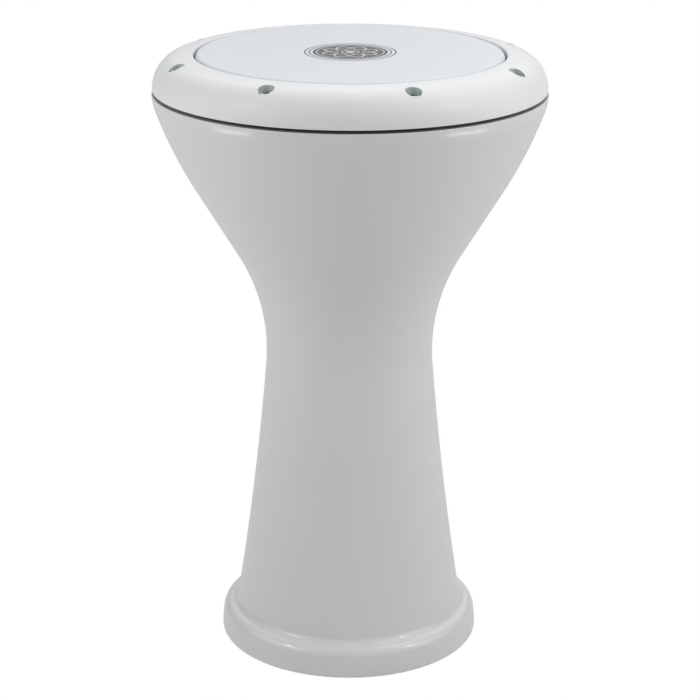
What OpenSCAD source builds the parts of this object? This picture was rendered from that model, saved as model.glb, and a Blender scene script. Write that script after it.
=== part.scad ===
// Goblet drum: a one-piece cast shell, a playing head on a metal hoop, and a solid ring
// that screws down over the hoop to tighten the head.
// Millimetres. The origin is the centre of the foot's underside, and +Z runs up the axis.
// Sizes along an outline are [straight run, arc radius, turn in degrees], left turns positive.

/* [Foot] */
// Radius of the bore through the foot
foot_bore_r = 77.5; // [75:0.5:79]
// Outer radius of the flat ring that the drum stands on
foot_rest_r = 82.4; // [81:0.2:84]
// Radius of the shallow arc under the foot's edge
foot_under_r = 40; // [38:1:44]
// Turn of that arc
foot_under_turn = 18; // [17:0.5:19]
// Radius of the foot's lower corner
foot_corner_r = 3; // [2.5:0.25:4]
// Radius of the bulge of the foot's side
foot_side_r = 82; // [70:1:100]
// Turn of that bulge
foot_side_turn = 9; // [8:0.5:10]
// Radius of the foot's upper shoulder
foot_shoulder_r = 8.5; // [7.5:0.25:9.5]
// Turn of that shoulder
foot_shoulder_turn = 63.8; // [60:0.2:66]
// Straight slope between the shoulder and the fillet
foot_slope = 0.8; // [0:0.1:1.5]
// Radius of the fillet where the foot meets the stem
foot_fillet_r = 6.6; // [5.5:0.1:8]

/* [Stem and neck] */
// Outer radius of the shell at the neck
neck_r = 61.3; // [60:0.1:63]
// Height of the neck
neck_z = 226.2; // [220:0.2:232]
// Radius of the stem's long curve
stem_bow_r = 2450; // [2000:50:3000]
// Thickness of the shell's wall
wall = 5; // [4:0.25:6]

/* [Bowl] */
// Outer radius of the shell at its shoulder
rim_r = 141.2; // [140:0.2:142.4]
// Height at which the shoulder stands upright
shoulder_z = 420; // [419:0.25:423]
// Height of the ledge under the tuning ring
ledge_z = 419.2; // [417.2:0.1:420.4]
// Lean of the bowl's cone from the vertical
cone_lean = 31.14; // [30.7:0.02:31.5]
// Lean of the wall between the bowl's long curve and its shoulder
bowl_lean = 19.6; // [19:0.1:20.5]
// Radius of the bowl's long curve
bowl_r = 318; // [300:1:330]
// Radius of the bowl's shoulder
shoulder_r = 36; // [32:1:40]

/* [Bearing wall] */
// Outer radius of the wall that the head is stretched over
bearing_r = 109.3; // [109:0.1:109.5]
// Thickness of that wall
bearing_wall = 5.6; // [5.2:0.1:7]
// Height of the top of that wall above the ledge
bearing_h = 27.1; // [26.7:0.1:27.5]
// Radius of the edge that the head bends over
crown_r = 3; // [2.5:0.25:4]
// Height above the ledge at which the inside starts to flare out to the bowl
flare_h = 3.5; // [2:0.5:6]

/* [Tuning ring] */
// Radius of the opening around the head
ring_bore_r = 111.2; // [111:0.1:111.6]
// Gap between the ring and the shell's ledge
ring_gap = 2.35; // [2.1:0.05:2.6]
// Height of the lip's underside above the ring's own base
lip_h = 14; // [13.5:0.25:14.25]
// Radius of the recess that the hoop sits in
ring_recess_r = 117.6; // [117.3:0.1:118.4]

/* [Screws] */
// Radius of the circle of screws
screw_circle_r = 126.8; // [126.4:0.1:127.2]
// Angle of the first screw
screw_start = 22.5; // [0:0.5:44.5]
// Length of a screw under its head
screw_len = 25; // [20:1:26]
// Height of a washer's seat above the ring's base
seat_h = 11.8; // [10.8:0.1:12.2]
// Radius of the pocket around a screw's head
pocket_r = 5.6; // [5.55:0.05:5.8]

/* [Head] */
// Thickness of the film
film_t = 0.3; // [0.25:0.05:0.4]
// Inner radius of the hoop
hoop_in_r = 110.2; // [110:0.1:110.5]
// Outer radius of the hoop
hoop_out_r = 117; // [116.8:0.05:117.1]
// Height of the hoop's outer wall
hoop_h = 9; // [8:0.25:9.5]
// Height of the hoop's inner wall
hoop_in_h = 5; // [4.5:0.1:5.2]

/* [Hidden] */
$fn = 180;
CHORD_TOL = 0.04; // how far a chord of an outline's arc may lie from the arc
CUT = 1; // how far a cut runs past the face that it starts on
SHELL_COLOR = "#dcd8de";
RING_COLOR = "#e6ebee";
FILM_COLOR = "#e4e8ee";
HOOP_COLOR = "#b9bcc0";
RESIN_COLOR = "#8f8a80";
SCREW_COLOR = "#9ea2a6";

// M6 socket head cap screw, its washer and its holes
SCREWS = 8;
SCREW_R = 3;
SCREW_ROOT_R = 2.4;
SCREW_PITCH = 1;
SCREW_HEAD_R = 5;
SCREW_HEAD_H = 6;
SCREW_EDGE = 0.4;
SOCKET_AF = 5;
SOCKET_DEPTH = 3;
TAPPED_R = 3.05;
TAPPED_EXTRA = 3; // depth of a tapped hole below the screw's tip
CLEAR_R = 3.3;
WASHER_IN_R = 3.2;
WASHER_OUT_R = 5.5;
WASHER_T = 1.6;

// small edges and fits
TOE_EDGE = 1.5;
RIM_EDGE = 0.5;
LEDGE_FILLET = 1.5;
CROWN_IN_R = 1.2;
RING_EDGE = 0.4;
LIP_EDGE = 1;
HOOP_WALL = 1.2;
HOOP_EDGE = 1;
RESIN_DROP = 0.3; // from the top of the hoop's inner wall down to the resin
FILM_CLEAR = 0.1; // between the film's collar and the bearing wall
FILM_BEND_R = 2;
FILM_BEND = 60;
FILM_TAIL = 3; // length of film that stands in the resin
COLLAR_END = 1.4; // height of the collar's end above the lip's underside

// outside of the ring, from its side over its shoulder to its top
RING_LEGS = [[0.55, 23.8, 42.9], [0, 20.8, 37.2], [0, 91, 6.6]];
RING_TOP_HEAD = 176.7; // heading at which the ring's top reaches the lip's edge

// unit vectors along a heading and to its left
function ahead(a) = [cos(a), sin(a)];
function left(a) = [-sin(a), cos(a)];

// one leg of an outline, on the line that lies off to its left: its arc's radius, its end,
// and its points
function leg_r(leg, off) = leg[1] - sign(leg[2]) * off;
function leg_end(p, a, leg, off) =
    p + leg[0] * ahead(a) + sign(leg[2]) * leg_r(leg, off) * (left(a) - left(a + leg[2]));
function arc_steps(r, turn) = ceil(abs(turn) / (2 * acos(1 - CHORD_TOL / max(r, 1))));
function leg_points(p, a, leg, off) =
    let (q = p + leg[0] * ahead(a), r = leg_r(leg, off), n = arc_steps(r, leg[2]))
    concat(leg[0] > 0 ? [q] : [],
           leg[1] == 0 ? [] :
           [for (i = [1:n]) q + sign(leg[2]) * r * (left(a) - left(a + leg[2] * i / n))]);

// points and end of an outline that starts at p on heading a
function walk(p, a, legs, off = 0, i = 0) =
    i == len(legs) ? [] :
    concat(leg_points(p, a, legs[i], off),
           walk(leg_end(p, a, legs[i], off), a + legs[i][2], legs, off, i + 1));
function walk_end(p, a, legs, off = 0, i = 0) =
    i == len(legs) ? p :
    walk_end(leg_end(p, a, legs[i], off), a + legs[i][2], legs, off, i + 1);
function reversed(list) = [for (i = [len(list) - 1:-1:0]) list[i]];

// foot, up to the fillet into the stem
foot_start = [foot_rest_r, 0];
foot_legs = [[0, foot_under_r, foot_under_turn],
             [0, foot_corner_r, 90 - foot_under_turn],
             [0, foot_side_r, foot_side_turn],
             [0, foot_shoulder_r, foot_shoulder_turn],
             [foot_slope, 0, 0]];
foot_end = walk_end(foot_start, 0, foot_legs);
foot_end_head = 90 + foot_side_turn + foot_shoulder_turn;

// bowl: the neck's bend and the cone's length follow from where the shoulder and the neck
// are, and the ledge cuts the shoulder a little below where it stands upright
neck = [neck_r, neck_z];
rim_lean = asin((shoulder_z - ledge_z + RIM_EDGE) / (shoulder_r - RIM_EDGE));
ledge_out_r = rim_r - shoulder_r + (shoulder_r - RIM_EDGE) * cos(rim_lean);
bowl_rise = bowl_r * [cos(bowl_lean) - cos(cone_lean), sin(cone_lean) - sin(bowl_lean)]
            + shoulder_r * [1 - cos(bowl_lean), sin(bowl_lean)];
cone_rise = [rim_r, shoulder_z] - neck - bowl_rise;
neck_bend_r = (cone_rise[1] * sin(cone_lean) - cone_rise[0] * cos(cone_lean))
              / (1 - cos(cone_lean));
cone_len = (cone_rise[0] - neck_bend_r * (1 - cos(cone_lean))) / sin(cone_lean);
bowl_legs = [[0, neck_bend_r, -cone_lean],
             [cone_len, bowl_r, cone_lean - bowl_lean],
             [0, shoulder_r, bowl_lean - rim_lean]];

// stem: one long arc that touches both the foot's fillet and the neck's bend
fillet_mid = foot_end - foot_fillet_r * left(foot_end_head);
neck_mid = neck + [neck_bend_r, 0];
to_neck = neck_mid - fillet_mid;
bow_to_fillet = stem_bow_r - foot_fillet_r;
bow_to_neck = stem_bow_r - neck_bend_r;
bow_along = (pow(bow_to_fillet, 2) - pow(bow_to_neck, 2) + to_neck * to_neck)
            / (2 * norm(to_neck));
bow_across = sqrt(pow(bow_to_fillet, 2) - pow(bow_along, 2));
stem_mid = fillet_mid
           + (bow_along * to_neck + bow_across * [to_neck[1], -to_neck[0]]) / norm(to_neck);
stem_lean = atan2(stem_mid[1] - fillet_mid[1], stem_mid[0] - fillet_mid[0]);
neck_lean = atan2(stem_mid[1] - neck_mid[1], stem_mid[0] - neck_mid[0]);
stem_start = stem_mid - stem_bow_r * ahead(stem_lean);
stem_legs = [[0, stem_bow_r, neck_lean - stem_lean], [0, neck_bend_r, -neck_lean]];
fillet_legs = [[0, foot_fillet_r, 90 + stem_lean - foot_end_head]];

// inside: the foot's bore up to the stem, then the wall's own line up to where the flare
// that comes down at 45 degrees from the bearing wall meets the bowl
bearing_in_r = bearing_r - bearing_wall;
bearing_top = ledge_z + bearing_h;
flare_top = ledge_z + flare_h;
bore_lean = acos((stem_mid[0] - foot_bore_r) / (stem_bow_r + wall));
inside_start = stem_mid - (stem_bow_r + wall) * ahead(bore_lean);
bowl_mid = walk_end(neck, 90, [bowl_legs[0], [cone_len, 0, 0]]) + bowl_r * left(90 - cone_lean);
flare_lean = acos((bearing_in_r + flare_top - bowl_mid[0] - bowl_mid[1])
                  / (bowl_r - wall) / sqrt(2)) - 45;
inside_legs = [[0, stem_bow_r, neck_lean - bore_lean],
               [0, neck_bend_r, -neck_lean],
               [0, neck_bend_r, -cone_lean],
               [cone_len, bowl_r, cone_lean - flare_lean]];

// levels of the ring, the screws and the hoop
ring_z = ledge_z + ring_gap;
lip_z = ring_z + lip_h;
seat_z = ring_z + seat_h;
head_z = seat_z + WASHER_T;
tip_z = head_z - screw_len;
hoop_z = lip_z - hoop_h;

// the ring's side lies where its top reaches the bore
ring_legs = concat([[0, RING_EDGE, 90]], RING_LEGS, [[0, LIP_EDGE, 270 - RING_TOP_HEAD]]);
ring_start = [ring_bore_r - walk_end([0, 0], 0, ring_legs)[0], ring_z];

// film: flat, over the crown, down the bearing wall, out and down into the hoop
film_z = bearing_top + film_t / 2;
collar_r = bearing_r + FILM_CLEAR + film_t / 2;
film_out = (hoop_in_r + hoop_out_r) / 2 - collar_r;
film_legs = [[collar_r - film_t / 2 - crown_r, crown_r + film_t / 2, -90],
             [bearing_top - crown_r - lip_z - COLLAR_END, FILM_BEND_R, FILM_BEND],
             [(film_out - 2 * FILM_BEND_R * (1 - cos(FILM_BEND))) / sin(FILM_BEND),
              FILM_BEND_R, -FILM_BEND],
             [FILM_TAIL, 0, 0]];

// puts its children at a screw's place, k counted from 1
module at_screw(k, z) {
    rotate(screw_start + 360 * (k - 1) / SCREWS)
        translate([screw_circle_r, 0, z])
            children();
}

module at_screws(z) {
    for (k = [1:SCREWS]) at_screw(k, z) children();
}

module shell_section() {
    rim_legs = [[0, RIM_EDGE, 90 + rim_lean],
                [ledge_out_r - bearing_r - LEDGE_FILLET, LEDGE_FILLET, -90],
                [bearing_h - LEDGE_FILLET - crown_r, crown_r, 90],
                [bearing_wall - crown_r - CROWN_IN_R, CROWN_IN_R, 90]];
    toe = [foot_bore_r, TOE_EDGE];
    polygon(concat([foot_start],
                   walk(foot_start, 0, foot_legs),
                   walk(foot_end, foot_end_head, fillet_legs),
                   walk(stem_start, 90 + stem_lean, concat(stem_legs, bowl_legs, rim_legs)),
                   [[bearing_in_r, flare_top]],
                   reversed(walk(inside_start, 90 + bore_lean, inside_legs, wall)),
                   [inside_start, toe],
                   walk(toe, 270, [[0, TOE_EDGE, 90]])));
}

module ring_section() {
    polygon(concat([[ring_recess_r, ring_z], ring_start],
                   walk(ring_start, 0, ring_legs),
                   [[ring_bore_r, lip_z], [ring_recess_r, lip_z]]));
}

module film_section() {
    upper = [0, film_z + film_t / 2];
    lower = [0, film_z - film_t / 2];
    polygon(concat([upper],
                   walk(upper, 0, film_legs, film_t / 2),
                   reversed(walk(lower, 0, film_legs, -film_t / 2)),
                   [lower]));
}

module hoop_section() {
    polygon(walk([hoop_in_r + HOOP_EDGE, hoop_z], 0,
                 [[hoop_out_r - hoop_in_r - 2 * HOOP_EDGE, HOOP_EDGE, 90],
                  [hoop_h - HOOP_EDGE, 0, 90],
                  [HOOP_WALL, 0, 90],
                  [hoop_h - HOOP_WALL, 0, -90],
                  [hoop_out_r - hoop_in_r - 2 * HOOP_WALL, 0, -90],
                  [hoop_in_h - HOOP_WALL, 0, 90],
                  [HOOP_WALL, 0, 90],
                  [hoop_in_h - HOOP_EDGE, HOOP_EDGE, 90]]));
}

module resin_section() {
    difference() {
        translate([hoop_in_r + HOOP_WALL, hoop_z + HOOP_WALL])
            square([hoop_out_r - hoop_in_r - 2 * HOOP_WALL, hoop_in_h - HOOP_WALL - RESIN_DROP]);
        film_section();
    }
}

// one screw, with its head's underside at z = 0 and its thread as rings one pitch apart
module screw() {
    threads = floor(screw_len / SCREW_PITCH) - 1;
    tooth = [[SCREW_ROOT_R, 0.0625], [SCREW_ROOT_R, 0.3125], [SCREW_R, 0.625], [SCREW_R, 0.75]];
    head_legs = [[SCREW_HEAD_H - SCREW_EDGE, SCREW_EDGE, 90]];
    difference() {
        rotate_extrude()
            polygon(concat([[0, -screw_len], [SCREW_ROOT_R, -screw_len]],
                           [for (i = [0:threads - 1], t = tooth)
                                [t[0], -screw_len + (i + t[1]) * SCREW_PITCH]],
                           [[SCREW_R, 0], [SCREW_HEAD_R, 0]],
                           walk([SCREW_HEAD_R, 0], 90, head_legs),
                           [[0, SCREW_HEAD_H]]));
        translate([0, 0, SCREW_HEAD_H - SOCKET_DEPTH])
            cylinder(h = SOCKET_DEPTH + CUT, d = SOCKET_AF / cos(30), $fn = 6);
    }
}

module shell() {
    color(SHELL_COLOR)
        difference() {
            rotate_extrude() shell_section();
            at_screws(tip_z - TAPPED_EXTRA)
                cylinder(h = ledge_z + CUT - tip_z + TAPPED_EXTRA, r = TAPPED_R);
        }
}

module tuning_ring() {
    color(RING_COLOR)
        difference() {
            rotate_extrude() ring_section();
            at_screws(ring_z - CUT) cylinder(h = seat_h + 2 * CUT, r = CLEAR_R);
            at_screws(seat_z) cylinder(h = screw_len, r = pocket_r);
        }
}

module head_film() {
    color(FILM_COLOR) rotate_extrude() film_section();
}

module head_hoop() {
    color(HOOP_COLOR) rotate_extrude() hoop_section();
}

module hoop_resin() {
    color(RESIN_COLOR) rotate_extrude() resin_section();
}

module screw_washers() {
    color(SCREW_COLOR)
        at_screws(seat_z)
            difference() {
                cylinder(h = WASHER_T, r = WASHER_OUT_R);
                translate([0, 0, -CUT]) cylinder(h = WASHER_T + 2 * CUT, r = WASHER_IN_R);
            }
}

module tension_screw(k) {
    color(SCREW_COLOR) at_screw(k, head_z) screw();
}

shell();
tuning_ring();
head_film();
head_hoop();
hoop_resin();
screw_washers();
tension_screw(1);  // tension_screw_1
tension_screw(2);  // tension_screw_2
tension_screw(3);  // tension_screw_3
tension_screw(4);  // tension_screw_4
tension_screw(5);  // tension_screw_5
tension_screw(6);  // tension_screw_6
tension_screw(7);  // tension_screw_7
tension_screw(8);  // tension_screw_8
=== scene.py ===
"""Goblet drum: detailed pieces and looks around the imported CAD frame.

Outlines are in millimetres, as [straight run, arc radius, turn in degrees] legs with left turns
positive, and are scaled to metres when a mesh is made.
"""

import math
import random

import bmesh
import bpy
from mathutils import Matrix, Vector


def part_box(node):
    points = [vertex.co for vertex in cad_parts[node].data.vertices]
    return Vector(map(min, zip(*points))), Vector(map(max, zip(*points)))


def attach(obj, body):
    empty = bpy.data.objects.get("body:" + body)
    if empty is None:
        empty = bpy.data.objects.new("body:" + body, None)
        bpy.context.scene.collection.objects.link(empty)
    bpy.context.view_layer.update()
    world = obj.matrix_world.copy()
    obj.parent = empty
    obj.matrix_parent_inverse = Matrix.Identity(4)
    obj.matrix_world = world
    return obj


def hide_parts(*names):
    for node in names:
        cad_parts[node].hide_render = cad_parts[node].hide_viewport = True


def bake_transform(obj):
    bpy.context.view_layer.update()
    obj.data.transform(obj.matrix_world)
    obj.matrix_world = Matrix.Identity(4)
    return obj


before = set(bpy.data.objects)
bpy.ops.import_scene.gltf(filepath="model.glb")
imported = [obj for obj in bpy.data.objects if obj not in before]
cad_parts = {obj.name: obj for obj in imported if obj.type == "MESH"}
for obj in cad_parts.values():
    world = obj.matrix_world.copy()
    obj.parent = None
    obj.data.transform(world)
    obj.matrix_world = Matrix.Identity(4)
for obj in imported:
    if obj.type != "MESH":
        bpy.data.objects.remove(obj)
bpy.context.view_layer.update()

MM = 0.001
ARC_STEP = 4.0  # degrees of turn between an arc's points
COLUMNS = 480  # round the drum's axis, for the shell and the ring
HEAD_COLUMNS = 240
SMOOTH_ANGLE = 28  # degrees between faces, past which an edge is sharp
PATCH_HALF = 3.75  # degrees either side of a screw that its hole's patch takes
PATCH_REACH = 7.4  # mm from the screws' circle that the patch takes, inwards and outwards
SCREWS = 8
FIRST_SCREW = 22.5  # degrees

# ---------------------------------------------------------------- sizes

# the shell
FOOT_BORE_R = 77.5
FOOT_REST_R = 82.4
FOOT_LEGS = [[0, 40, 18], [0, 3, 72], [0, 82, 9], [0, 8.5, 63.8], [0.8, 0, 0]]
FOOT_END_HEAD = 162.8
FILLET_R = 6.6
NECK = Vector((61.3, 226.2))
BOW_R = 2450
WALL = 5
SHOULDER = Vector((141.2, 420))
LEDGE_Z = 419.2
RIM_EDGE = 0.5
CONE_LEAN = 31.14
BOWL_LEAN = 19.6
BOWL_R = 318
SHOULDER_R = 36
BEARING_R = 109.3
BEARING_WALL = 5.6
CROWN_R = 3
CROWN_IN_R = 1.2
LEDGE_FILLET = 1.5
FLARE_H = 3.5
TOE_EDGE = 1.5
TAPPED_R = 3.05
TAPPED_EDGE = 0.5
TAPPED_SPARE = 3  # below the screw's tip

# the ring, whose levels come from the frame
RING_BORE_R = 111.2
RECESS_R = 117.6
RING_EDGE = 0.4
LIP_EDGE = 1
RING_LEGS = [[0.55, 23.8, 42.9], [0, 20.8, 37.2], [0, 91, 6.6]]
RING_TOP_HEAD = 176.7
SCREW_CIRCLE = 126.8
POCKET_R = 5.6
POCKET_EDGE = 0.15
POCKET_FLOOR_EDGE = 0.3
CLEAR_R = 3.3
CLEAR_EDGE = 0.2

# the head
FILM_T = 0.3
FILM_CLEAR = 0.1
FILM_BEND_R = 2
FILM_BEND = 60
FILM_TAIL = 3
COLLAR_END = 1.4
HOOP_IN_R = 110.2
HOOP_OUT_R = 117
HOOP_WALL = 1.2
HOOP_EDGE = 1
HOOP_IN_H = 5
RESIN_DROP = 0.3

# the screws and their washers
SCREW_R = 3
SCREW_ROOT_R = 2.45
PITCH = 1
POINT_H = 0.6
HEAD_R = 5
HEAD_H = 6
KNURL_LOW = 0.75
KNURL_HIGH = 4.6
KNURL_DEPTH = 0.12
SOCKET_AF = 5
SOCKET_MOUTH_R = 3.35
SOCKET_DEPTH = 3
WASHER_IN_R = 3.2
WASHER_OUT_R = 5.5
WASHER_EDGE = 0.2
SCREW_COLUMNS = 48
THREAD_ROWS = 8  # in each pitch

# the print
INK_T = 0.03
INK_COLUMNS = 288


def level(node, side):
    """Height of a CAD node's lowest (0) or highest (1) point, in mm."""
    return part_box(node)[side].z / MM


BEARING_TOP = level("shell", 1)
RING_Z = level("tuning_ring", 0)
SEAT_Z = level("screw_washers", 0)
WASHER_TOP = level("screw_washers", 1)
TIP_Z = level("tension_screw_1", 0)
HOOP_Z = level("head_hoop", 0)
LIP_Z = level("head_hoop", 1)
FILM_TOP = level("head_film", 1)
TAPPED_END = TIP_Z - TAPPED_SPARE


# ---------------------------------------------------------------- outlines


def cos(angle):
    return math.cos(math.radians(angle))


def sin(angle):
    return math.sin(math.radians(angle))


def ahead(head):
    return Vector((cos(head), sin(head)))


def left(head):
    return Vector((-sin(head), cos(head)))


def leg_radius(leg, off):
    """A leg's arc radius, on the line that lies off to the left of it."""
    return leg[1] - math.copysign(off, leg[2]) if leg[2] else 0


def leg_end(p, head, leg, off=0):
    sign = math.copysign(1, leg[2])
    return p + leg[0] * ahead(head) + sign * leg_radius(leg, off) * (left(head) - left(head + leg[2]))


def walk(p, head, legs, off=0, step=ARC_STEP):
    """Points of an outline after p, on the line that lies off to the left of the legs."""
    points = []
    for leg in legs:
        run, radius, turn = leg
        q = p + run * ahead(head)
        if run > 0:
            points.append(q)
        if radius:
            sign = math.copysign(1, turn)
            count = max(1, math.ceil(abs(turn) / step))
            for i in range(1, count + 1):
                bend = left(head) - left(head + turn * i / count)
                points.append(q + sign * leg_radius(leg, off) * bend)
        p = leg_end(p, head, leg, off)
        head += turn
    return points


def end_of(p, head, legs, off=0):
    for leg in legs:
        p = leg_end(p, head, leg, off)
        head += leg[2]
    return p


def split(a, b, spacing):
    """Points between a and b, no further apart than spacing, without a and with b."""
    count = max(1, math.ceil((b - a).length / spacing))
    return [a.lerp(b, i / count) for i in range(1, count + 1)]


def shell_outline():
    """The shell's closed section, and the numbers of its first inside and first ledge points."""
    foot_start = Vector((FOOT_REST_R, 0))
    foot_end = end_of(foot_start, 0, FOOT_LEGS)

    # the neck's bend and the cone's length follow from where the shoulder and the neck are
    rise = BOWL_R * Vector((cos(BOWL_LEAN) - cos(CONE_LEAN), sin(CONE_LEAN) - sin(BOWL_LEAN)))
    rise += SHOULDER_R * Vector((1 - cos(BOWL_LEAN), sin(BOWL_LEAN)))
    cone = SHOULDER - NECK - rise
    bend_r = (cone.y * sin(CONE_LEAN) - cone.x * cos(CONE_LEAN)) / (1 - cos(CONE_LEAN))
    cone_len = (cone.x - bend_r * (1 - cos(CONE_LEAN))) / sin(CONE_LEAN)
    to_cone = [0, bend_r, -CONE_LEAN]

    # one long arc touches both the foot's fillet and the neck's bend
    fillet_mid = foot_end - FILLET_R * left(FOOT_END_HEAD)
    neck_mid = NECK + Vector((bend_r, 0))
    gap = neck_mid - fillet_mid
    far = BOW_R - FILLET_R
    along = (far**2 - (BOW_R - bend_r) ** 2 + gap.length_squared) / (2 * gap.length)
    across = math.sqrt(far**2 - along**2)
    stem_mid = fillet_mid + (along * gap + across * Vector((gap.y, -gap.x))) / gap.length
    stem_lean = math.degrees(math.atan2(stem_mid.y - fillet_mid.y, stem_mid.x - fillet_mid.x))
    neck_lean = math.degrees(math.atan2(stem_mid.y - neck_mid.y, stem_mid.x - neck_mid.x))
    stem_start = stem_mid - BOW_R * ahead(stem_lean)

    # inside, the bore meets the stem and the flare meets the bowl
    flare_top = Vector((BEARING_R - BEARING_WALL, LEDGE_Z + FLARE_H))
    bore_lean = math.degrees(math.acos((stem_mid.x - FOOT_BORE_R) / (BOW_R + WALL)))
    inside_start = stem_mid - (BOW_R + WALL) * ahead(bore_lean)
    bowl_mid = end_of(NECK, 90, [to_cone, [cone_len, 0, 0]]) + BOWL_R * left(90 - CONE_LEAN)
    reach = (flare_top.x + flare_top.y - bowl_mid.x - bowl_mid.y) / (BOWL_R - WALL)
    flare_lean = math.degrees(math.acos(reach / math.sqrt(2))) - 45

    outside = [foot_start]
    outside += walk(foot_start, 0, FOOT_LEGS)
    outside += walk(foot_end, FOOT_END_HEAD, [[0, FILLET_R, 90 + stem_lean - FOOT_END_HEAD]])
    outside += walk(stem_start, 90 + stem_lean, [[0, BOW_R, neck_lean - stem_lean]], step=0.3)
    neck_bend = [[0, bend_r, -neck_lean], to_cone]
    outside += walk(outside[-1], 90 + neck_lean, neck_bend, step=1.5)
    cone_start = outside[-1]
    outside += split(cone_start, cone_start + cone_len * ahead(90 - CONE_LEAN), 8)
    outside += walk(outside[-1], 90 - CONE_LEAN, [[0, BOWL_R, CONE_LEAN - BOWL_LEAN]], step=1)
    rim_lean = math.degrees(math.asin((SHOULDER.y - LEDGE_Z + RIM_EDGE) / (SHOULDER_R - RIM_EDGE)))
    outside += walk(outside[-1], 90 - BOWL_LEAN, [[0, SHOULDER_R, BOWL_LEAN - rim_lean]], step=2)
    edge = walk(outside[-1], 90 - rim_lean, [[0, RIM_EDGE, 90 + rim_lean]], step=22.5)
    ledge_in = Vector((BEARING_R + LEDGE_FILLET, LEDGE_Z))
    ledge = split(edge[-1], ledge_in, 2.2)
    bearing = walk(
        ledge_in,
        180,
        [
            [0, LEDGE_FILLET, -90],
            [BEARING_TOP - LEDGE_Z - LEDGE_FILLET - CROWN_R, CROWN_R, 90],
            [BEARING_WALL - CROWN_R - CROWN_IN_R, CROWN_IN_R, 90],
        ],
        step=9,
    )
    inside = walk(inside_start, 90 + bore_lean, [[0, BOW_R, neck_lean - bore_lean]], WALL, 0.3)
    inside += walk(inside[-1], 90 + neck_lean, neck_bend, WALL, 2)
    inside += split(inside[-1], inside[-1] + cone_len * ahead(90 - CONE_LEAN), 10)
    inside += walk(inside[-1], 90 - CONE_LEAN, [[0, BOWL_R, CONE_LEAN - flare_lean]], WALL, 1)
    toe = Vector((FOOT_BORE_R, TOE_EDGE))
    points = outside + edge
    ledge_from = len(points) - 1
    points += ledge + bearing
    inside_from = len(points) - 1
    points += [flare_top] + split(flare_top, inside[-1], 6)[:-1]
    points += inside[::-1] + [inside_start] + split(inside_start, toe, 10)
    inside_to = len(points)
    points += walk(toe, 270, [[0, TOE_EDGE, 90]], step=22.5)
    return points, ledge_from, inside_from, inside_to


def ring_outline():
    """The ring's closed section, and the numbers of the outer and inner ends of the stretches
    of its underside and of its top that the screws' holes pass through."""
    legs = [[0, RING_EDGE, 90]] + RING_LEGS + [[0, LIP_EDGE, 270 - RING_TOP_HEAD]]
    start = Vector((RING_BORE_R - end_of(Vector((0, 0)), 0, legs).x, RING_Z))
    outside = walk(start, 0, [[0, RING_EDGE, 90]], step=22.5)
    head = 90
    for leg, step in zip(RING_LEGS, (2.5, 2.2, 0.5)):
        outside += walk(outside[-1], head, [leg], step=step)
        head += leg[2]
    outside += walk(outside[-1], head, [[0, LIP_EDGE, 270 - head]], step=12)
    middle = [i for i, p in enumerate(outside) if abs(p.x - SCREW_CIRCLE) < PATCH_REACH]
    middle = [i for i in middle if outside[i].y > SEAT_Z]
    inner = Vector((SCREW_CIRCLE - PATCH_REACH, RING_Z))
    outer = Vector((SCREW_CIRCLE + PATCH_REACH, RING_Z))
    steps = middle[-1] - middle[0]
    points = [Vector((RECESS_R, RING_Z)), inner]
    points += split(inner, outer, 2 * PATCH_REACH / (steps - 0.5))
    under = (len(points) - 1, 1)
    points += [start]
    top = (len(points) + middle[0], len(points) + middle[-1])
    points += outside + [Vector((RING_BORE_R, LIP_Z)), Vector((RECESS_R, LIP_Z))]
    return points, under, top


def film_legs():
    """The middle of the film's thickness, over the bearing wall and down into the hoop."""
    collar_r = BEARING_R + FILM_CLEAR + FILM_T / 2
    out = (HOOP_IN_R + HOOP_OUT_R) / 2 - collar_r
    slope = (out - 2 * FILM_BEND_R * (1 - cos(FILM_BEND))) / sin(FILM_BEND)
    return [
        [collar_r - FILM_T / 2 - CROWN_R, CROWN_R + FILM_T / 2, -90],
        [BEARING_TOP - CROWN_R - LIP_Z - COLLAR_END, FILM_BEND_R, FILM_BEND],
        [slope, FILM_BEND_R, -FILM_BEND],
        [FILM_TAIL, 0, 0],
    ]


def film_outline(step=7.5):
    """The film's section from the axis over its top to its tail and back under it."""
    upper = Vector((0, FILM_TOP))
    lower = Vector((0, FILM_TOP - FILM_T))
    over = walk(upper, 0, film_legs(), FILM_T / 2, step)
    under = walk(lower, 0, film_legs(), -FILM_T / 2, step)
    return [upper] + split(upper, over[0], 14) + over[1:] + under[:0:-1] + split(under[0], lower, 14)


def hoop_outline():
    wide = HOOP_OUT_R - HOOP_IN_R
    legs = [
        [wide - 2 * HOOP_EDGE, HOOP_EDGE, 90],
        [LIP_Z - HOOP_Z - HOOP_EDGE, 0, 90],
        [HOOP_WALL, 0, 90],
        [LIP_Z - HOOP_Z - HOOP_WALL, 0, -90],
        [wide - 2 * HOOP_WALL, 0, -90],
        [HOOP_IN_H - HOOP_WALL, 0, 90],
        [HOOP_WALL, 0, 90],
        [HOOP_IN_H - HOOP_EDGE, HOOP_EDGE, 90],
    ]
    return walk(Vector((HOOP_IN_R + HOOP_EDGE, HOOP_Z)), 0, legs, step=18)


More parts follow.
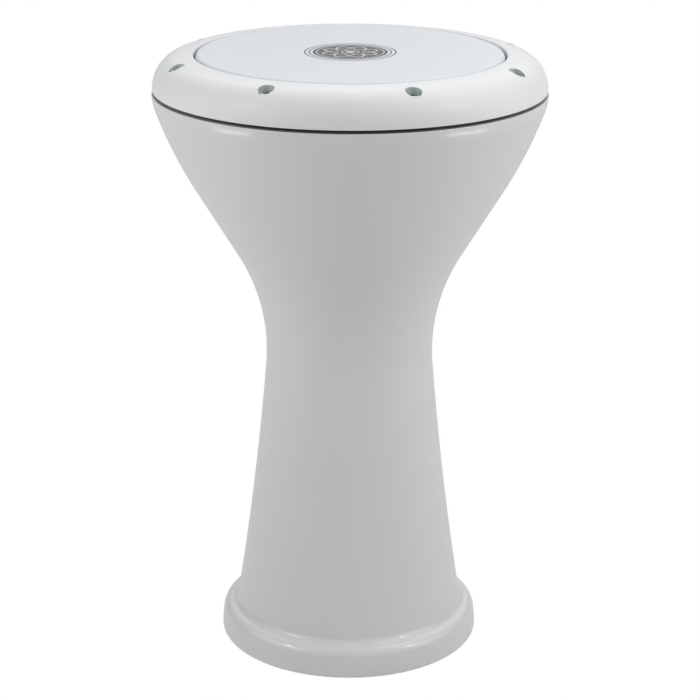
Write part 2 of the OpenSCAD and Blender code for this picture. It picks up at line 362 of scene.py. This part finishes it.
def resin_outline():
    """The resin fills the hoop's channel and stands in a shallow curve around the film."""
    low = HOOP_Z + HOOP_WALL
    high = HOOP_Z + HOOP_IN_H - RESIN_DROP
    film = film_outline(15)
    tail = [p for p in film if p.x > HOOP_IN_R + HOOP_WALL and p.y < high]
    outer = [p for p in tail if p.x > (HOOP_IN_R + HOOP_OUT_R) / 2]
    inner = [p for p in tail if p not in outer]
    wall_in = HOOP_IN_R + HOOP_WALL
    wall_out = HOOP_OUT_R - HOOP_WALL
    middle = (wall_in + wall_out) / 2
    corners = [Vector((wall_in, low)), Vector((wall_out, low)), Vector((wall_out, high))]
    mouth = [Vector((middle + FILM_T / 2, high)), Vector((middle - FILM_T / 2, high))]
    return corners + [mouth[0]] + outer + inner + [mouth[1], Vector((wall_in, high))]


# ---------------------------------------------------------------- meshes


def polar(r, z, turn):
    return Vector((r * MM * math.cos(turn), r * MM * math.sin(turn), z * MM))


def screw_turn(k):
    return math.radians(FIRST_SCREW + 360 / SCREWS * k)


def turns_of(columns):
    return [2 * math.pi * j / columns for j in range(columns)]


def finished(bm, name, angle=SMOOTH_ANGLE):
    """A smooth-shaded piece of the scene, from a mesh that is still being built."""
    bmesh.ops.recalc_face_normals(bm, faces=bm.faces[:])
    mesh = bpy.data.meshes.new(name)
    bm.to_mesh(mesh)
    bm.free()
    for polygon in mesh.polygons:
        polygon.use_smooth = True
    mesh.set_sharp_from_angle(angle=math.radians(angle))
    piece = bpy.data.objects.new(name, mesh)
    bpy.context.scene.collection.objects.link(piece)
    return piece


def bridge(bm, a, b, tag=0):
    """Quads between two closed loops of as many vertices, or triangles to a single vertex."""
    count = max(len(a), len(b))
    for i in range(count):
        j = (i + 1) % count
        corners = [a[i % len(a)], a[j % len(a)], b[j % len(b)], b[i % len(b)]]
        face = bm.faces.new(list(dict.fromkeys(corners)))
        face.material_index = tag


def turned(name, outline, tags=None, tunnels=(), columns=COLUMNS, closed=True):
    """A solid of revolution. A tunnel is (mouth, loops, far, painted): mouth and far are the
    outer and inner outline points of the patches where it comes out, loops makes its rings, and
    the steps between rings after the first painted ones are tagged 2, as bare metal in a tint
    darkened as painted shade."""
    bm = bmesh.new()
    turns = turns_of(columns)
    rings = []
    for r, z in outline:
        if r < 1e-6:
            rings.append([bm.verts.new(polar(0, z, 0))])
        else:
            rings.append([bm.verts.new(polar(r, z, t)) for t in turns])
    span = round(columns * PATCH_HALF / 360)
    middles = [round(screw_turn(k) / (2 * math.pi) * columns) for k in range(SCREWS)]
    gone = set()
    for mouth, loops, far, painted in tunnels:
        for ends in filter(None, (mouth, far)):
            for i in range(min(ends), max(ends)):
                gone.update((i, (m + j) % columns) for m in middles for j in range(-span, span))
    for i in range(len(rings) if closed else len(rings) - 1):
        a, b = rings[i], rings[(i + 1) % len(rings)]
        for j in range(columns):
            if (i, j) in gone:
                continue
            k = (j + 1) % columns
            corners = [a[j % len(a)], a[k % len(a)], b[k % len(b)], b[j % len(b)]]
            corners = list(dict.fromkeys(corners))
            if len(corners) > 2:
                bm.faces.new(corners).material_index = tags[i] if tags else 0
    for mouth, loops, far, painted in tunnels:
        for number, m in enumerate(middles):
            start = patch(rings, mouth, m, span, columns)
            made = [start] + loops(bm, start, screw_turn(number))
            if far:
                made.append(patch(rings, far, m, span, columns))
            for i in range(len(made) - 1):
                bridge(bm, made[i], made[i + 1], 2 if i >= painted else 0)
    return finished(bm, name)


def patch(rings, ends, middle, span, columns):
    """The vertices round a patch, from its outer corner, clockwise or not as ends run."""
    outer, inner = ends
    step = 1 if inner > outer else -1
    low, high = (middle - span) % columns, (middle + span) % columns
    loop = [rings[i][low] for i in range(outer, inner, step)]
    loop += [rings[inner][(middle + j) % columns] for j in range(-span, span)]
    loop += [rings[i][high] for i in range(inner, outer, -step)]
    loop += [rings[outer][(middle + j) % columns] for j in range(span, -span, -1)]
    return loop


def around(bm, start, turn, radii_and_levels):
    """Rings round a screw's axis, each at the angles that the start loop's vertices have."""
    axis = polar(SCREW_CIRCLE, 0, turn)
    angles = [math.atan2(v.co.y - axis.y, v.co.x - axis.x) for v in start]
    made = []
    for r, z in radii_and_levels:
        if r == 0:
            made.append([bm.verts.new(Vector((axis.x, axis.y, z * MM)))])
            continue
        ring = []
        for angle in angles:
            x = axis.x + r * MM * math.cos(angle)
            y = axis.y + r * MM * math.sin(angle)
            ring.append(bm.verts.new(Vector((x, y, z(x, y) if callable(z) else z * MM))))
        made.append(ring)
    return made


def tapped_hole(bm, start, turn):
    """From the shell's ledge, over a countersink, down to the hole's blind end."""
    down = [
        (TAPPED_R + TAPPED_EDGE, LEDGE_Z),
        (TAPPED_R, LEDGE_Z - TAPPED_EDGE),
        (TAPPED_R, TAPPED_END),
        (0, TAPPED_END),
    ]
    return around(bm, start, turn, down)


def height_on(outline):
    """The height of an outline's upper side over a point of the plane, both in metres."""
    points = sorted((p.x, p.y) for p in outline)

    def height(x, y):
        r = math.hypot(x, y) / MM
        for (r0, z0), (r1, z1) in zip(points, points[1:]):
            if r0 <= r <= r1:
                return (z0 + (z1 - z0) * (r - r0) / max(r1 - r0, 1e-9)) * MM
        return points[-1][1] * MM

    return height


RIM_SHARES = (0.25, 0.5, 0.75)  # of the way from the patch's border to the pocket's rim
POCKET_EDGE_ANGLES = (22.5, 45, 67.5, 90)  # round the pocket's edge
POCKET_LOOPS = len(RIM_SHARES) + 1 + len(POCKET_EDGE_ANGLES)  # as far as the edge's end


def pocket_maker(top):
    """A tunnel's loops for the ring, whose upper side has the outline top."""
    surface = height_on(top)

    def loops(bm, start, turn):
        """From the ring's top, over a rounded edge, down the pocket and through the ring."""
        rim_r = POCKET_R + POCKET_EDGE
        rim = around(bm, start, turn, [(rim_r, surface)])[0]
        between = []
        for share in RIM_SHARES:
            ring = []
            for a, b in zip(start, rim):
                x, y = a.co.lerp(b.co, share).xy
                ring.append(bm.verts.new(Vector((x, y, surface(x, y)))))
            between.append(ring)
        rounded = []
        for angle in POCKET_EDGE_ANGLES:
            drop = POCKET_EDGE * (1 - cos(angle)) * MM
            r = rim_r - POCKET_EDGE * sin(angle)
            ring = around(bm, start, turn, [(r, surface)])[0]
            for v in ring:
                v.co.z -= drop
            rounded.append(ring)
        down = [
            (POCKET_R, SEAT_Z + POCKET_FLOOR_EDGE),
            (POCKET_R - POCKET_FLOOR_EDGE, SEAT_Z),
            (CLEAR_R + CLEAR_EDGE, SEAT_Z),
            (CLEAR_R, SEAT_Z - CLEAR_EDGE),
            (CLEAR_R, RING_Z + CLEAR_EDGE),
            (CLEAR_R + CLEAR_EDGE, RING_Z),
        ]
        return between + [rim] + rounded + around(bm, start, turn, down)

    return loops


def screw_rings():
    """A screw's rings from its tip to the socket's floor, as functions of a column's angle
    that give (radius, height under the head's bearing face at 0), in mm."""
    length = WASHER_TOP - TIP_Z
    run_out = 1.5 * PITCH

    def thread(z):
        depth = SCREW_R - SCREW_ROOT_R
        fade = min(1, (z + length) / POINT_H, max(0, -z / run_out))

        def ring(angle):
            phase = (z / PITCH - angle / (2 * math.pi)) % 1
            crest = max(0, min(1, 2.4 - abs(phase - 0.5) * 6))
            return SCREW_ROOT_R + depth * crest * fade, z

        return ring

    def plain(r, z):
        return lambda angle: (r, z)

    def knurled(z):
        def ring(angle):
            groove = round(angle * SCREW_COLUMNS / (2 * math.pi)) % 2
            return HEAD_R - KNURL_DEPTH * groove, z

        return ring

    def hexagon(z, share=1.0, chamfer=0.0):
        def ring(angle):
            flat = (angle % (math.pi / 3)) - math.pi / 6
            return SOCKET_AF / 2 / math.cos(flat) * share + chamfer, z

        return ring

    rows = int((length - 0.2) / PITCH * THREAD_ROWS)
    rings = [thread(-length + i * PITCH / THREAD_ROWS) for i in range(rows + 1)]
    rings += [plain(SCREW_ROOT_R + 0.2, -0.15), plain(SCREW_R, 0), plain(HEAD_R - 0.3, 0)]
    rings += [plain(HEAD_R, 0.3), plain(HEAD_R, 0.6)]
    rings += [knurled(z) for z in (KNURL_LOW, KNURL_HIGH)]
    rings += [plain(HEAD_R, KNURL_HIGH + 0.15), plain(HEAD_R, HEAD_H - 0.5)]
    rings += [plain(HEAD_R - 0.15, HEAD_H - 0.15), plain(HEAD_R - 0.5, HEAD_H)]
    rings += [plain(SOCKET_MOUTH_R, HEAD_H)]
    rings += [hexagon(HEAD_H - 0.25, 1.0, 0.02), hexagon(HEAD_H - SOCKET_DEPTH)]
    rings += [hexagon(HEAD_H - SOCKET_DEPTH - 0.1, 0.86), hexagon(HEAD_H - SOCKET_DEPTH - 0.9, 0.1)]
    return rings


def screw(k):
    """One cap screw: a helical thread, a finely ribbed head and a hexagon socket."""
    bm = bmesh.new()
    base = polar(SCREW_CIRCLE, WASHER_TOP, screw_turn(k))
    rolled = random.Random(k).uniform(0, 2 * math.pi)
    rings = []
    for shape in screw_rings():
        ring = []
        for turn in turns_of(SCREW_COLUMNS):
            r, z = shape(turn)
            ring.append(bm.verts.new(base + polar(r, z, turn + rolled)))
        rings.append(ring)
    for a, b in zip(rings, rings[1:]):
        bridge(bm, a, b)
    for end in (rings[0], rings[-1]):
        middle = sum((v.co for v in end), Vector()) / len(end)
        bridge(bm, end, [bm.verts.new(middle)])
    return finished(bm, f"cap_screw_{k + 1}", 40)


def washers():
    """All the flat washers, with every edge but the lower inner one bevelled."""
    bm = bmesh.new()
    outline = [
        (WASHER_IN_R, SEAT_Z),
        (WASHER_OUT_R - WASHER_EDGE, SEAT_Z),
        (WASHER_OUT_R, SEAT_Z + WASHER_EDGE),
        (WASHER_OUT_R, WASHER_TOP - WASHER_EDGE),
        (WASHER_OUT_R - WASHER_EDGE, WASHER_TOP),
        (WASHER_IN_R + WASHER_EDGE, WASHER_TOP),
        (WASHER_IN_R, WASHER_TOP - WASHER_EDGE),
    ]
    for k in range(SCREWS):
        base = polar(SCREW_CIRCLE, 0, screw_turn(k))
        turns = turns_of(SCREW_COLUMNS)
        rings = [[bm.verts.new(base + polar(r, z, t)) for t in turns] for r, z in outline]
        for a, b in zip(rings, rings[1:] + rings[:1]):
            bridge(bm, a, b)
    return finished(bm, "washer_set")


def inked(name, bands, low, high):
    """Thin printed shapes on the film: each band lies between two radii, given as functions
    of the angle, in mm. A band whose inner radius is None is a filled shape."""
    bm = bmesh.new()

    def ring(radius, z):
        return [bm.verts.new(polar(radius(t), z, t)) for t in turns_of(INK_COLUMNS)]

    for inner, outer in bands:
        if inner is None:
            loops = [[bm.verts.new(polar(0, low, 0))], ring(outer, low), ring(outer, high)]
            loops.append([bm.verts.new(polar(0, high, 0))])
            for a, b in zip(loops, loops[1:]):
                bridge(bm, a, b)
        else:
            loops = [ring(inner, low), ring(outer, low), ring(outer, high), ring(inner, high)]
            for a, b in zip(loops, loops[1:] + loops[:1]):
                bridge(bm, a, b)
    return finished(bm, name)


def wavy(radius, depth=0.0, phase=0.0):
    """A circle's radius at each angle, or that of a rosette with a lobe for each screw."""
    return lambda turn: radius * (1 + depth * math.cos(SCREWS * (turn + phase)))


# ---------------------------------------------------------------- materials

# pairs are mixed by a noise
SHELL_TINTS = (0.715, 0.690, 0.720), (0.735, 0.712, 0.742)
PRIMER_TINT = (0.33, 0.33, 0.34)
NIB_TINT = (0.93, 0.93, 0.93)
CAST_TINTS = (0.36, 0.36, 0.37), (0.50, 0.50, 0.51)
OVERSPRAY_TINT = (0.62, 0.61, 0.63)
RING_TINTS = (0.782, 0.794, 0.811), (0.802, 0.813, 0.829)
FILM_TINTS = (0.726, 0.745, 0.778), (0.746, 0.764, 0.796)
STEEL_TINTS = (0.48, 0.54, 0.52), (0.62, 0.68, 0.66)
HOOP_TINTS = (0.62, 0.63, 0.64), (0.76, 0.77, 0.78)
RESIN_TINTS = (0.30, 0.26, 0.20), (0.40, 0.35, 0.28)
# painted shade: the ledge under the ring and the tapped holes are tinted dark, for the shade in the
# gap between ring and shell
LEDGE_SHADE_TINT = (0.38, 0.38, 0.385)
# painted shade: the pockets' walls are tinted dark grey-green, for the shade deep in them
POCKET_SHADE_TINT = (0.58, 0.64, 0.62)
DARK_INK = (0.075, 0.075, 0.078)
LIGHT_INK = (0.62, 0.63, 0.64)


class Nodes:
    """A material's node tree, with short ways to add and join nodes."""

    def __init__(self, name):
        self.material = bpy.data.materials.new(name)
        self.material.use_nodes = True
        self.tree = self.material.node_tree
        self.shader = self.tree.nodes["Principled BSDF"]
        self.place = self.add("ShaderNodeTexCoord").outputs["Object"]

    def add(self, kind, **values):
        node = self.tree.nodes.new(kind)
        for key, value in values.items():
            if hasattr(node, key):
                setattr(node, key, value)
            else:
                self.put(node.inputs[key.replace("_", " ")], value)
        return node

    def put(self, socket, value):
        if isinstance(value, bpy.types.NodeSocket):
            self.tree.links.new(value, socket)
        else:
            socket.default_value = value

    def set(self, **values):
        for key, value in values.items():
            self.put(self.shader.inputs[key.replace("_", " ")], value)

    def math(self, operation, a, b=0.0, c=0.0):
        node = self.add("ShaderNodeMath", operation=operation)
        for socket, value in zip(node.inputs, (a, b, c)):
            self.put(socket, value)
        return node.outputs[0]

    def noise(self, scale, detail=2.0, rough=0.5, place=None):
        node = self.add("ShaderNodeTexNoise", Scale=scale, Detail=detail, Roughness=rough)
        self.put(node.inputs["Vector"], place or self.place)
        return node.outputs["Fac"]

    def span(self, value, low, high, to_low, to_high):
        node = self.add("ShaderNodeMapRange")
        for socket, given in zip(node.inputs, (value, low, high, to_low, to_high)):
            self.put(socket, given)
        return node.outputs[0]

    def mix(self, share, a, b):
        node = self.add("ShaderNodeMix", data_type="RGBA")
        self.put(node.inputs[0], share)
        self.put(node.inputs[6], (*a, 1) if isinstance(a, tuple) else a)
        self.put(node.inputs[7], (*b, 1) if isinstance(b, tuple) else b)
        return node.outputs[2]

    def radius(self):
        """How far a point is from the drum's axis."""
        parts = self.add("ShaderNodeSeparateXYZ", Vector=self.place).outputs
        squares = [self.math("POWER", parts[name], 2.0) for name in "XY"]
        return self.math("SQRT", self.math("ADD", *squares))

    def bump(self, height, strength, distance, under=None):
        node = self.add("ShaderNodeBump", Strength=strength, Distance=distance, Height=height)
        if under is not None:
            self.put(node.inputs["Normal"], under)
        return node.outputs["Normal"]


def shell_paint():
    """Gloss enamel over cast metal: faint orange peel, a few nibs, and scuffs at the foot."""
    n = Nodes("shell_enamel")
    height = n.add("ShaderNodeSeparateXYZ", Vector=n.place).outputs["Z"]
    tint = n.mix(n.noise(9, 3), *SHELL_TINTS)
    # scuffs show bare primer in specks along the foot's lowest 10 mm
    low = n.span(height, 0.0, 0.010, 1.0, 0.0)
    scuff = n.math("MULTIPLY", n.span(n.noise(240, 4, 0.7), 0.60, 0.66, 0, 1), low)
    worn = n.math("MULTIPLY", scuff, 0.7)
    color = n.mix(worn, tint, PRIMER_TINT)
    # nibs: dust specks under the last coat, in about one cell of fourteen
    cells = n.add("ShaderNodeTexVoronoi", Scale=24.0, Vector=n.place)
    dice = n.add("ShaderNodeSeparateColor", Color=cells.outputs["Color"]).outputs[0]
    chosen = n.math("GREATER_THAN", dice, 0.93)
    nib = n.math("MULTIPLY", n.span(cells.outputs["Distance"], 0.012, 0.030, 1, 0), chosen)
    peel = n.bump(n.noise(160, 2, 0.45), 0.08, 0.0004)
    fine = n.bump(n.noise(1400, 2), 0.05, 0.0001, peel)
    n.set(
        Base_Color=n.mix(nib, color, NIB_TINT),
        Roughness=n.span(n.noise(30, 3), 0.3, 0.7, 0.36, 0.44),
        Specular_IOR_Level=0.3,
        Coat_Weight=n.math("SUBTRACT", 0.75, worn),
        Coat_Roughness=0.15,
        Normal=n.bump(nib, 0.6, 0.0006, fine),
        Coat_Normal=n.bump(nib, 0.5, 0.0006, peel),
    )
    return n.material


def cast_inside():
    """The shell's inside: sand-cast aluminium with a thin, uneven coat of overspray."""
    n = Nodes("cast_inside")
    grain = n.noise(620, 5, 0.65)
    cover = n.span(n.noise(16, 4, 0.6), 0.35, 0.65, 0, 1)
    n.set(
        Base_Color=n.mix(cover, n.mix(grain, *CAST_TINTS), OVERSPRAY_TINT),
        Metallic=n.span(cover, 0, 1, 0.65, 0.15),
        Roughness=n.span(grain, 0.2, 0.8, 0.55, 0.85),
        Normal=n.bump(grain, 0.7, 0.0006, n.bump(n.noise(70, 3), 0.5, 0.0015)),
    )
    return n.material


def shaded_bare_metal(name, tint):
    """Aluminium left bare by a cutter: fine turning marks and a dull, mottled finish, in a tint
    darkened as painted shade.
    """
    n = Nodes(name)
    stretch = n.add("ShaderNodeMapping", Vector=n.place, Scale=(500, 500, 4200))
    marks = n.noise(1.0, 3, 0.6, stretch.outputs[0])
    grime = n.noise(90, 4, 0.6)
    # the tint passed in is darkened as painted shade; the noise mottles it lighter and darker
    dark, light = (tuple(share * c for c in tint) for share in (0.8, 1.2))
    n.set(
        Base_Color=n.mix(grime, dark, light),
        Metallic=0.5,
        Roughness=n.span(marks, 0.25, 0.75, 0.45, 0.65),
        Normal=n.bump(marks, 0.25, 0.00008),
    )
    return n.material


def ring_paint():
    """Satin powder coat on the ring: a fine even texture over faint waves."""
    n = Nodes("ring_powder_coat")
    waves = n.bump(n.noise(180, 2), 0.06, 0.0005)
    n.set(
        Base_Color=n.mix(n.noise(11, 3), *RING_TINTS),
        Roughness=n.span(n.noise(42, 3), 0.3, 0.7, 0.40, 0.50),
        Specular_IOR_Level=0.45,
        Coat_Weight=0.12,
        Coat_Roughness=0.25,
        Normal=n.bump(n.noise(900, 3, 0.55), 0.10, 0.00025, waves),
    )
    return n.material


def film_plastic():
    """Coated polyester film: a fine sprayed texture, rubbed a little smoother near the middle."""
    n = Nodes("head_film_coating")
    rubbed = n.span(n.radius(), 0.03, 0.10, 0.06, 0)
    specks = n.noise(1900, 3, 0.6)
    n.set(
        Base_Color=n.mix(n.noise(14, 4), *FILM_TINTS),
        Roughness=n.math("SUBTRACT", n.span(specks, 0.3, 0.7, 0.42, 0.54), rubbed),
        Specular_IOR_Level=0.5,
        Subsurface_Weight=0.08,
        Subsurface_Scale=0.002,
        Normal=n.bump(specks, 0.16, 0.00015),
    )
    return n.material


def ink(name, tint):
    """Screen-printing ink, a little mottled."""
    n = Nodes(name)
    specks = n.noise(1600, 3, 0.6)
    n.set(
        Base_Color=n.mix(specks, tuple(0.92 * c for c in tint), tuple(1.08 * c for c in tint)),
        Roughness=n.span(specks, 0.3, 0.7, 0.34, 0.46),
        Normal=n.bump(specks, 0.12, 0.0001),
    )
    return n.material


def plated_steel():
    """Zinc-plated steel with fine scratches."""
    n = Nodes("plated_steel")
    stretch = n.add("ShaderNodeMapping", Vector=n.place, Scale=(900, 900, 5200))
    scratch = n.noise(1.0, 3, 0.6, stretch.outputs[0])
    blotch = n.noise(500, 3)
    n.set(
        Base_Color=n.mix(blotch, *STEEL_TINTS),
        Metallic=1.0,
        Roughness=n.span(scratch, 0.25, 0.75, 0.20, 0.38),
        Normal=n.bump(scratch, 0.12, 0.00005),
    )
    return n.material


def rolled_aluminium():
    """The hoop: fine lines round the axis from rolling."""
    n = Nodes("rolled_aluminium")
    height = n.add("ShaderNodeSeparateXYZ", Vector=n.place).outputs["Z"]
    lines_at = n.add("ShaderNodeCombineXYZ", X=n.radius(), Z=height)
    lines = n.noise(3800, 3, 0.6, lines_at.outputs[0])
    n.set(
        Base_Color=n.mix(lines, *HOOP_TINTS),
        Metallic=1.0,
        Roughness=n.span(lines, 0.3, 0.7, 0.26, 0.42),
        Normal=n.bump(lines, 0.2, 0.00006),
    )
    return n.material


def cast_resin():
    """Amber casting resin with small pits where bubbles broke."""
    n = Nodes("cast_resin")
    bubbles = n.add("ShaderNodeTexVoronoi", Scale=1100.0, Vector=n.place)
    pits = n.span(bubbles.outputs["Distance"], 0.08, 0.25, 1, 0)
    n.set(
        Base_Color=n.mix(n.noise(60, 3), *RESIN_TINTS),
        Roughness=n.span(n.noise(200, 2), 0.3, 0.7, 0.25, 0.45),
        Normal=n.bump(pits, 0.3, 0.0002),
    )
    return n.material


# ---------------------------------------------------------------- pieces


def place(piece, materials, body, slot, *nodes):
    """Gives a piece its materials, the body it rides on and the nodes it replaces; the slot is not
    used.
    """
    for material in materials:
        piece.data.materials.append(material)
    if body:
        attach(piece, body)
    if nodes:
        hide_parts(*nodes)


def make_shell():
    points, ledge_from, inside_from, inside_to = shell_outline()
    tags = [1 if inside_from <= i < inside_to else 0 for i in range(len(points))]
    tags[ledge_from:inside_from] = [2] * (inside_from - ledge_from)
    at = [i for i in range(ledge_from, inside_from) if abs(points[i].x - SCREW_CIRCLE) < PATCH_REACH]
    at = [i for i in at if abs(points[i].y - LEDGE_Z) < 1e-3]
    piece = turned("drum_shell", points, tags, [((at[0], at[-1]), tapped_hole, None, 0)])
    # the ledge and the tapped holes get bare metal whose dark tint is painted shade in the gap under
    # the ring
    materials = [shell_paint(), cast_inside(), shaded_bare_metal("machined_ledge_painted_shade", LEDGE_SHADE_TINT)]
    place(piece, materials, "shell", "shell_paint", "shell")


def make_ring():
    points, under, top = ring_outline()
    upper = [p for p in points if p.x > RING_BORE_R and p.y > RING_Z + 8 and p.y != LIP_Z]
    tunnel = (top, pocket_maker(upper), under, POCKET_LOOPS)
    piece = turned("clamp_ring", points, None, [tunnel])
    # the pockets' walls are bare metal whose dark grey-green tint is painted shade deep in the
    # pockets
    metal = shaded_bare_metal("machined_pocket_painted_shade", POCKET_SHADE_TINT)
    place(piece, [ring_paint(), metal, metal], "rim", "ring_paint", "tuning_ring")


def make_head():
    film = turned("playing_head", film_outline(), closed=False, columns=HEAD_COLUMNS)
    place(film, [film_plastic()], None, "head_film", "head_film")
    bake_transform(film)
    hoop = turned("head_channel", hoop_outline(), columns=HEAD_COLUMNS)
    place(hoop, [rolled_aluminium()], "rim", "hoop_metal", "head_hoop")
    resin = turned("head_resin", resin_outline(), columns=HEAD_COLUMNS)
    place(resin, [cast_resin()], "rim", "hoop_resin", "hoop_resin")


def make_print():
    """A plain geometric badge printed at the middle of the head, in two layers of ink."""
    half_lobe = math.pi / SCREWS
    dark = [(None, wavy(26.7)), (wavy(28.6), wavy(29.6)), (wavy(31.8), wavy(32.8))]
    light = [
        (None, wavy(3.2)),
        (wavy(5.6), wavy(6.6)),
        (wavy(11.0, 0.22), wavy(12.6, 0.20)),
        (wavy(17.2, 0.13, half_lobe), wavy(18.8, 0.12, half_lobe)),
        (wavy(23.6), wavy(24.4)),
    ]
    middle = FILM_TOP + INK_T
    lower = inked("print_dark", dark, FILM_TOP, middle)
    place(lower, [ink("dark_ink", DARK_INK)], "shell", "head_film")
    upper = inked("print_light", light, middle, middle + INK_T)
    place(upper, [ink("light_ink", LIGHT_INK)], "shell", "head_film")


def make_screws():
    steel = plated_steel()
    for k in range(SCREWS):
        place(screw(k), [steel], f"screw_{k + 1}", "steel", f"tension_screw_{k + 1}")
    place(washers(), [steel], "rim", "steel", "screw_washers")


# ---------------------------------------------------------------- stage, lights and camera

# metres and degrees, with the azimuth 0 in front of the drum and 90 on its right
CAMERA_LENS = 110.2  # mm, for the usual 36 mm sensor
CAMERA_AZIMUTH = 3.35
CAMERA_OUT = 1.5059  # from the drum's axis
CAMERA_UP = 0.7333
CAMERA_PITCH = 18.70  # looking down
CAMERA_YAW = 0.016
CAMERA_ROLL = 0.166
FLOOR_HALF = 9.0
FLOOR_GLOW = 0.625  # how much light it throws back

# the sky's soft lobes: azimuth, elevation, narrowness, brightness
LOBES = [
    (0, 90, 12, 0.62),
    (-45, 35, 6, 0.50),
    (45, 35, 6, 0.81),
    (180, 50, 6, 2.09),
]

# name, azimuth and elevation from the point aimed at, distance, size, watts, that point's height
LAMPS = [
    ("panel_left", -85, 5, 0.8, (0.5, 0.5), 0.80, 0.5),
    ("panel_right", 85, 5, 0.8, (0.5, 0.5), 0.95, 0.5),
    ("panel_front", -50, 10, 0.9, (0.4, 0.4), 0.85, 0.5),
    ("panel_above", 90, 50, 0.6, (0.3, 0.3), 0.63, 0.446),
    ("streak_left", -61, -21, 0.6, (0.24, 0.05), 0.18, 0.42),
    ("streak_right", 68, -21, 0.6, (0.24, 0.05), 0.18, 0.42),
    ("glint_left", -61, 42, 1.7, (0.16, 0.10), 2.4, 0.1),
    ("glint_right", 68, 42, 1.7, (0.16, 0.10), 3.2, 0.1),
]
PLAIN_WHITE = (1, 1, 1, 1)


def direction(azimuth, elevation):
    """A step of one metre from the drum."""
    flat = cos(elevation)
    return Vector((sin(azimuth) * flat, -cos(azimuth) * flat, sin(elevation)))


def make_floor():
    """A pale floor that is plain white to the eye."""
    bm = bmesh.new()
    bmesh.ops.create_grid(bm, x_segments=8, y_segments=8, size=FLOOR_HALF)
    floor = finished(bm, "studio_floor")
    n = Nodes("studio_floor")
    n.tree.nodes.remove(n.shader)
    glow = n.add("ShaderNodeEmission", Color=PLAIN_WHITE, Strength=FLOOR_GLOW)
    seen = n.add("ShaderNodeEmission", Color=PLAIN_WHITE, Strength=1.0)
    chosen = n.add("ShaderNodeMixShader")
    n.put(chosen.inputs[0], n.add("ShaderNodeLightPath").outputs["Is Camera Ray"])
    n.put(chosen.inputs[1], glow.outputs[0])
    n.put(chosen.inputs[2], seen.outputs[0])
    # clear from below, so that the foot can be seen through it
    sides = n.add("ShaderNodeMixShader")
    n.put(sides.inputs[0], n.add("ShaderNodeNewGeometry").outputs["Backfacing"])
    n.put(sides.inputs[1], chosen.outputs[0])
    n.put(sides.inputs[2], n.add("ShaderNodeBsdfTransparent").outputs[0])
    n.put(n.tree.nodes["Material Output"].inputs["Surface"], sides.outputs[0])
    floor.data.materials.append(n.material)


def make_world():
    """Soft studio light as broad lobes round the drum, and plain white to the eye."""
    world = bpy.data.worlds.new("studio")
    bpy.context.scene.world = world
    world.use_nodes = True
    tree = world.node_tree
    tree.nodes.clear()
    add, link = tree.nodes.new, tree.links.new
    way = add("ShaderNodeTexCoord").outputs["Generated"]
    total = add("ShaderNodeValue").outputs[0]
    total.default_value = 0
    for azimuth, elevation, focus, glow in LOBES:
        facing = add("ShaderNodeVectorMath")
        facing.operation = "DOT_PRODUCT"
        link(way, facing.inputs[0])
        facing.inputs[1].default_value = direction(azimuth, elevation)
        last = facing.outputs["Value"]
        for operation, value in (("MAXIMUM", 0), ("POWER", focus), ("MULTIPLY", glow)):
            step = add("ShaderNodeMath")
            step.operation = operation
            link(last, step.inputs[0])
            step.inputs[1].default_value = value
            last = step.outputs[0]
        both = add("ShaderNodeMath")
        link(total, both.inputs[0])
        link(last, both.inputs[1])
        total = both.outputs[0]
    lit = add("ShaderNodeBackground")
    link(total, lit.inputs[0])
    plain = add("ShaderNodeBackground")
    plain.inputs[0].default_value = PLAIN_WHITE
    mixed = add("ShaderNodeMixShader")
    link(add("ShaderNodeLightPath").outputs["Is Camera Ray"], mixed.inputs[0])
    link(lit.outputs[0], mixed.inputs[1])
    link(plain.outputs[0], mixed.inputs[2])
    link(mixed.outputs[0], add("ShaderNodeOutputWorld").inputs[0])


def make_lamp(name, azimuth, elevation, distance, size, power, aim):
    """A soft rectangular lamp that faces a point on the drum's axis."""
    light = bpy.data.lights.new(name, "AREA")
    light.shape = "RECTANGLE"
    light.size, light.size_y = size
    light.energy = power
    lamp = bpy.data.objects.new(name, light)
    lamp.visible_camera = False
    back = direction(azimuth, elevation)
    lamp.location = Vector((0, 0, aim)) + back * distance
    lamp.rotation_mode = "QUATERNION"
    lamp.rotation_quaternion = (-back).to_track_quat("-Z", "Y")
    bpy.context.scene.collection.objects.link(lamp)


def make_camera():
    """A long lens at the photograph's place, turned and rolled by a hair."""
    data = bpy.data.cameras.new("camera")
    data.lens = CAMERA_LENS
    data.clip_start, data.clip_end = 0.05, 50
    camera = bpy.data.objects.new("camera", data)
    bpy.context.scene.collection.objects.link(camera)
    where = direction(CAMERA_AZIMUTH, 0) * CAMERA_OUT
    facing = CAMERA_AZIMUTH - CAMERA_YAW
    back = direction(facing, CAMERA_PITCH)
    right = Vector((cos(facing), sin(facing), 0))
    up = back.cross(right)
    across = right * cos(CAMERA_ROLL) + up * sin(CAMERA_ROLL)
    upward = up * cos(CAMERA_ROLL) - right * sin(CAMERA_ROLL)
    turn = Matrix((across, upward, back)).transposed().to_4x4()
    camera.matrix_world = Matrix.Translation(where + Vector((0, 0, CAMERA_UP))) @ turn
    bpy.context.scene.camera = camera


make_camera()
make_floor()
make_world()
for lamp in LAMPS:
    make_lamp(*lamp)
bpy.context.scene.view_settings.view_transform = "Standard"

make_shell()
make_ring()
make_head()
make_print()
make_screws()
